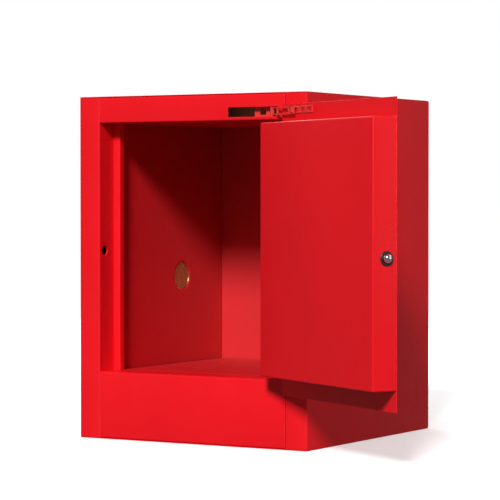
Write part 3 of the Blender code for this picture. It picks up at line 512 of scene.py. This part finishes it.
def made_piece(name, bm, body, slot):
    """Turn a bmesh into a shown piece that rides on a body."""
    bmesh.ops.recalc_face_normals(bm, faces=bm.faces)
    mesh = bpy.data.meshes.new(name)
    bm.to_mesh(mesh)
    bm.free()
    mesh.shade_smooth()
    mesh.set_sharp_from_angle(angle=math.radians(38))
    mesh.materials.append(FINISHES[slot])
    piece = bpy.data.objects.new(name, mesh)
    bpy.context.scene.collection.objects.link(piece)
    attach(piece, body)


def spaced(start, stop, count):
    """Evenly spaced values from start to stop, both included."""
    return [start + (stop - start) * index / (count - 1) for index in range(count)]


def scaled(profile):
    """A profile given in millimetres."""
    return [(radius * MM, height * MM) for radius, height in profile]


SPOT_WELD = scaled([
    (0, -0.2), (3.3, -0.2), (3.3, 0.0), (2.9, 0.18), (2.3, 0.24), (1.6, 0.12), (0, 0.05),
])
RIVET = scaled([(0, -0.2), (2.6, -0.2), (2.6, 0.15), (2.2, 0.42), (1.2, 0.58), (0, 0.62)])
CAP_RIB = scaled([(0, 2.7), (0.7, 3.0), (0.8, 3.6), (0.8, 4.4), (0.7, 5.0), (0, 5.3)])
FOOT_FLUTE = scaled([(0, 1.2), (0.4, 1.5), (0.5, 2.2), (0.5, 5.0), (0.4, 5.6), (0, 5.9)])


def shell_welds():
    """Spot welds where the side and rear panels are joined to the flanges under them."""
    inset, clear_of_ends = 9 * MM, 28 * MM
    clear_of_front, clear_of_rear = 24 * MM, 38 * MM
    low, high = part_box("rear_panel")
    bm = bmesh.new()

    def weld(point, normal):
        turn(bm, SPOT_WELD, facing(point, normal), 16)

    for side in ("left", "right"):
        panel_low, panel_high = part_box(f"side_panel_{side}")
        x, out = (panel_low.x, -1) if side == "left" else (panel_high.x, 1)
        for z in spaced(low.z + clear_of_ends, high.z - clear_of_ends, 9):
            weld((x, panel_high.y - inset, z), (out, 0, 0))
            weld((x - out * inset, high.y, z), (0, 1, 0))
        for y in spaced(panel_low.y + clear_of_front, panel_high.y - clear_of_rear, 7):
            weld((x, y, panel_low.z + inset), (out, 0, 0))
    made_piece("spot_welds", bm, "cabinet", "red_powder_coat")


def dressed_seams():
    """Butt seams of the stiles with header and sill, welded and ground back to a shallow groove."""
    groove = 0.10 * MM          # how far the bead lies under the paint's face
    half_gap = 0.15 * MM        # from a panel's edge to the middle of its seam
    across, depth, clear_of_ends = 0.5 * MM, 1.0 * MM, 0.6 * MM
    ripple, ripple_pitch = 0.04 * MM, 0.9 * MM
    bm = bmesh.new()
    for panel in ("header", "sill"):
        low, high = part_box(f"{panel}_panel")
        length = high.z - low.z - 2 * clear_of_ends
        size = Matrix.Diagonal((across, depth, length, 1))
        for seam_x in (low.x - half_gap, high.x + half_gap):
            middle = Vector((seam_x, low.y + groove + depth / 2, (low.z + high.z) / 2))
            made = bmesh.ops.create_cube(bm, size=1.0, matrix=Matrix.Translation(middle) @ size)
            sides = {edge for vert in made["verts"] for edge in vert.link_edges}
            upright = [edge for edge in sides if edge.calc_length() > 2 * depth]
            bmesh.ops.subdivide_edges(bm, edges=upright, cuts=40, use_grid_fill=True)
    for vert in bm.verts:
        vert.co.y += ripple * math.sin(vert.co.z / ripple_pitch)
    made_piece("dressed_seams", bm, "cabinet", "red_powder_coat")


def hinge_rivets():
    """Flat rivets through both hinge leaves, staggered so that they pass when the door shuts."""
    knuckles = 13
    low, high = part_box("hinge_leaf_frame")
    pitch = (high.z - low.z) / knuckles
    heights = [low.z + (index + 0.5) * pitch for index in range(knuckles)]
    frame_x = low.x + 3.1 * MM              # the face of the frame's leaf
    frame_y = high.y - 10 * MM
    door_x, door_y = -1.5 * MM, 19 * MM     # the face of the door's leaf, in the door's own frame

    bm = bmesh.new()
    for z in heights[0::2]:
        turn(bm, RIVET, facing((frame_x, frame_y, z), (-1, 0, 0)), 18)
    made_piece("hinge_rivets_frame", bm, "cabinet", "zinc_plated_steel")

    bm = bmesh.new()
    for z in heights[1::2]:
        turn(bm, RIVET, DOOR @ facing((door_x, door_y, z), (1, 0, 0)), 18)
    made_piece("hinge_rivets_door", bm, "door", "zinc_plated_steel")


def arrester_gauze(side):
    """Woven wire over the vent's flame arrester, held by a sprung ring."""
    low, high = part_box(f"flame_arrester_{side}")
    inwards = 1 if side == "left" else -1
    face = high.x if side == "left" else low.x
    centre = (low + high) / 2
    pitch, wire, ring_wire = 2.6 * MM, 0.24 * MM, 0.55 * MM
    plane = face + inwards * 0.75 * MM
    reach = (high.z - low.z) / 2 - 0.4 * MM
    strands = int(reach / pitch)
    bm = bmesh.new()
    for strand in range(-strands, strands + 1):
        offset = strand * pitch
        half = math.sqrt(reach ** 2 - offset ** 2)
        steps = max(4, int(half / (pitch / 4)))
        for upright in (False, True):
            points = []
            for run in spaced(-half, half, 2 * steps + 1):
                phase = math.pi * (run / pitch + strand + (1 if upright else 0))
                x = plane + inwards * wire * math.cos(phase)
                y, z = (offset, run) if upright else (run, offset)
                points.append(Vector((x, centre.y + y, centre.z + z)))
            sweep(bm, points, wire, Vector((0, 1, 0)) if upright else Vector((0, 0, 1)), 5)
    rim = [Vector((plane, centre.y + spot.x, centre.z + spot.y)) for spot in circle(reach, 48)]
    sweep(bm, rim, ring_wire, Vector((1, 0, 0)), 8, closed=True)
    made_piece(f"arrester_gauze_{side}", bm, "cabinet", "brass")


def cap_ribs(side):
    """Grip ribs round a vent cap's edge and a bead on its face."""
    low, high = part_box(f"vent_cap_{side}")
    out = -1 if side == "left" else 1
    centre = (low + high) / 2
    stand_off = 12 * MM         # from the vent's mouth out to the cap's face
    edge = 28 * MM              # the radius of the cap's rim
    bead_radius, bead_height, bead_wire = 23.5 * MM, 6.65 * MM, 0.5 * MM
    mouth = (low.x + stand_off) if side == "left" else (high.x - stand_off)
    place = facing((mouth, centre.y, centre.z), (out, 0, 0))
    bm = bmesh.new()
    for spot in circle(edge, 44):
        turn(bm, CAP_RIB, place @ Matrix.Translation(spot), 8)
    bead = [place @ spot for spot in circle(bead_radius, 64, bead_height)]
    sweep(bm, bead, bead_wire, Vector((1, 0, 0)), 8, closed=True)
    made_piece(f"vent_cap_ribs_{side}", bm, "cabinet", "red_powder_coat")


def star_washer():
    """The toothed washer under the grounding screw's head."""
    low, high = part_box("grounding_screw")
    seat = low.x + 6.8 * MM
    place = facing((seat, (low.y + high.y) / 2, (low.z + high.z) / 2), (-1, 0, 0))
    teeth, twist = 12, math.radians(24)
    outwards = Matrix.Translation((7.2 * MM, 0, 1.85 * MM)) @ Matrix.Rotation(twist, 4, "X")
    tooth = outwards @ Matrix.Diagonal((2.6 * MM, 1.9 * MM, 0.45 * MM, 1))
    bm = bmesh.new()
    for index in range(teeth):
        round_axis = Matrix.Rotation(2 * math.pi * index / teeth, 4, "Z")
        bmesh.ops.create_cube(bm, size=1.0, matrix=place @ round_axis @ tooth)
    bmesh.ops.bevel(bm, geom=bm.edges[:], offset=0.12 * MM, segments=1, affect="EDGES")
    made_piece("star_washer", bm, "cabinet", "brass")


def foot_flutes(place):
    """Grip flutes round a levelling foot's pad."""
    low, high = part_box(f"leveling_foot_{place}")
    middle = (low + high) / 2
    foot = Vector((middle.x, middle.y, low.z))
    bm = bmesh.new()
    for spot in circle((high.x - low.x) / 2, 28):
        turn(bm, FOOT_FLUTE, Matrix.Translation(foot + spot), 6)
    made_piece(f"foot_flutes_{place}", bm, f"foot_{place}", "foot_rubber")


def lock_ring():
    """The rolled rim of the lock cylinder's face."""
    low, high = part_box("lock_cylinder")
    centre = DOOR.inverted() @ ((low + high) / 2)
    face = 9.7 * MM             # how deep the cylinder's face lies in the dish
    radius, wire = 7.9 * MM, 0.45 * MM
    place = DOOR @ facing((centre.x, face, centre.z), (0, -1, 0))
    rim = [place @ spot for spot in circle(radius, 40)]
    bm = bmesh.new()
    sweep(bm, rim, wire, DOOR.to_3x3() @ Vector((0, 1, 0)), 8, closed=True)
    made_piece("lock_ring", bm, "lock", "polished_steel")


def paddle_ribs():
    """Raised ribs that give the fingers a grip on the paddle."""
    low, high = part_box("paddle_handle")
    clear_of_ends, face, wire = 7 * MM, 2.9 * MM, 1.2 * MM
    heights = spaced(low.z + clear_of_ends, high.z - clear_of_ends, 8)
    bm = bmesh.new()
    for from_hinge in (254.5 * MM, 260.0 * MM, 265.5 * MM):
        points = [DOOR @ Vector((-from_hinge, face, z)) for z in heights]
        sweep(bm, points, wire, Vector((1, 0, 0)), 12)
    made_piece("paddle_ribs", bm, "handle", "zinc_plated_steel")


shell_welds()
dressed_seams()
hinge_rivets()
star_washer()
lock_ring()
paddle_ribs()
for cabinet_side in ("left", "right"):
    arrester_gauze(cabinet_side)
    cap_ribs(cabinet_side)
for corner in ("front_left", "front_right", "rear_left", "rear_right"):
    foot_flutes(corner)


# ---- Light, floor and camera ----------------------------------------------------------------
WHITE = (1.0, 1.0, 1.0, 1.0)
CABINET_MIDDLE = Vector((0, 0, 0.3))
AMBIENT = 0.15                  # light from the surround
SURROUND = 1.0                  # the surround as the camera sees it


def studio_light():
    """A broad key from the front and a little right, soft fills and a white surround."""
    key = bpy.data.lights.new("key", "SUN")
    key.energy = 3.60
    key.angle = math.radians(11)
    lamp = bpy.data.objects.new("key", key)
    aim(lamp, azimuth=18, elevation=32, distance=6.0)
    bpy.context.scene.collection.objects.link(lamp)
    softbox("fill_right", azimuth=98, elevation=15, distance=3.2, side=2.2, watts=13)
    softbox("fill_left", azimuth=-128, elevation=25, distance=3.4, side=2.2, watts=40)
    softbox("fill_back", azimuth=165, elevation=40, distance=3.6, side=2.6, watts=30)

    world = bpy.data.worlds.new("studio")
    bpy.context.scene.world = world
    world.use_nodes = True
    nodes, links = world.node_tree.nodes, world.node_tree.links
    ambient = nodes["Background"]
    seen = nodes.new("ShaderNodeBackground")
    for background, strength in ((ambient, AMBIENT), (seen, SURROUND)):
        background.inputs["Color"].default_value = WHITE
        background.inputs["Strength"].default_value = strength
    rays = nodes.new("ShaderNodeLightPath")
    mix = nodes.new("ShaderNodeMixShader")
    links.new(rays.outputs["Is Camera Ray"], mix.inputs["Fac"])
    links.new(ambient.outputs["Background"], mix.inputs[1])
    links.new(seen.outputs["Background"], mix.inputs[2])
    links.new(mix.outputs["Shader"], nodes["World Output"].inputs["Surface"])


def aim(item, azimuth, elevation, distance):
    """Place an item round the cabinet, azimuth from the front towards the right, looking at it."""
    across, up = math.radians(azimuth), math.radians(elevation)
    away = Vector((math.sin(across) * math.cos(up), -math.cos(across) * math.cos(up), math.sin(up)))
    item.location = CABINET_MIDDLE + away * distance
    item.rotation_euler = away.to_track_quat("Z", "Y").to_euler()


def softbox(name, azimuth, elevation, distance, side, watts):
    """A square area light that looks at the cabinet."""
    light = bpy.data.lights.new(name, "AREA")
    light.shape = "SQUARE"
    light.size = side
    light.energy = watts
    lamp = bpy.data.objects.new(name, light)
    aim(lamp, azimuth, elevation, distance)
    bpy.context.scene.collection.objects.link(lamp)


def pale_floor():
    """A wide pale disc under the cabinet, a little self-lit.

    It takes shadows but throws no light up at the panels.
    """
    pale, paler, glow = (0.90, 0.90, 0.90), (0.93, 0.93, 0.93), 0.42
    bm = bmesh.new()
    bmesh.ops.create_circle(bm, cap_ends=True, radius=60.0, segments=96)
    mesh = bpy.data.meshes.new("floor")
    bm.to_mesh(mesh)
    bm.free()
    floor = bpy.data.objects.new("floor", mesh)
    floor.location = (0, 0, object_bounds()[0][2] - 0.2 * MM)
    floor.visible_diffuse = False
    floor.visible_glossy = False
    finish = Finish("floor_finish", pale, 0.7, Emission_Color=WHITE, Emission_Strength=glow)
    cloud = finish.spread(finish.noise(1.5, 3.0), 0.3, 0.7)
    finish.link(finish.blend(cloud, pale, paler), "Base Color")
    mesh.materials.append(finish.material)
    bpy.context.scene.collection.objects.link(floor)


EYE = (1.99869, -3.40358, 0.40008)
EYE_TURN, EYE_DIP = math.radians(30.61), math.radians(1.31)
FOCAL_LENGTH = 167.85           # mm, on a sensor 36 mm wide


def camera():
    """The view from the cabinet's front right, at about the height of its middle."""
    lens = bpy.data.cameras.new("camera")
    lens.lens = FOCAL_LENGTH
    lens.sensor_width = 36.0
    lens.clip_end = 200.0
    eye = bpy.data.objects.new("camera", lens)
    eye.location = EYE
    eye.rotation_euler = (math.radians(90) - EYE_DIP, 0, EYE_TURN)
    bpy.context.scene.collection.objects.link(eye)
    bpy.context.scene.camera = eye


studio_light()
pale_floor()
camera()
bpy.context.scene.view_settings.view_transform = "Standard"
